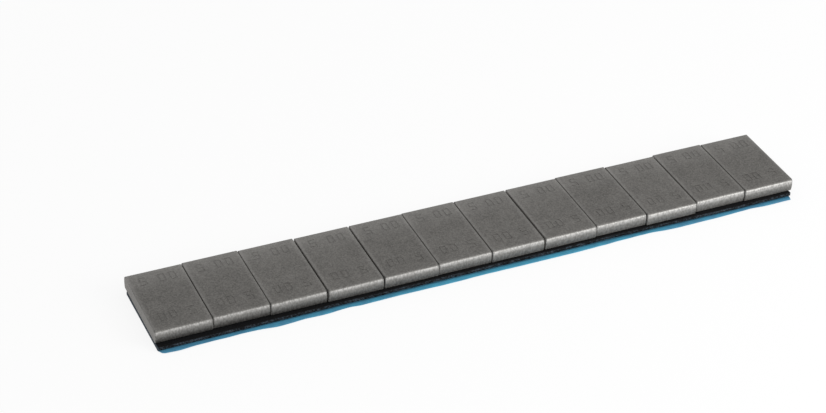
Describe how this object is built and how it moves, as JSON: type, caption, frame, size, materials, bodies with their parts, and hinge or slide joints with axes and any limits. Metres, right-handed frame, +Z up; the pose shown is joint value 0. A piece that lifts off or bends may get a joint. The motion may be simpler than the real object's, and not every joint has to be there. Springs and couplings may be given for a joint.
{
  "type": "stick-on wheel balance weight strip",
  "caption": "Flat row of small coated steel blocks on black foam adhesive tape with a blue peel-off liner, snapped off to length and stuck inside a wheel rim to balance it.",
  "frame": {"origin": "under the middle of the row of segments, on the liner's lower face, which is the face that the strip rests on", "axes": "+X along the strip, +Y from the edge with the wide liner margin to the other edge, +Z up, from the liner to the metal"},
  "size_m": [0.1424, 0.022, 0.0037],
  "materials": {
    "coated_steel": "fine-grained grey metallic coating, satin",
    "black_foam": "closed-cell foam tape, cut edges, matt",
    "blue_film": "thin translucent plastic film, satin"
  },
  "bodies": {
    "root": {"weight_segment_01": "coated_steel", "weight_segment_02": "coated_steel", "weight_segment_03": "coated_steel", "weight_segment_04": "coated_steel", "weight_segment_05": "coated_steel", "weight_segment_06": "coated_steel", "weight_segment_07": "coated_steel", "weight_segment_08": "coated_steel", "weight_segment_09": "coated_steel", "weight_segment_10": "coated_steel", "weight_segment_11": "coated_steel", "weight_segment_12": "coated_steel", "foam_tape": "black_foam", "release_liner": "blue_film"}
  },
  "joints": []
}
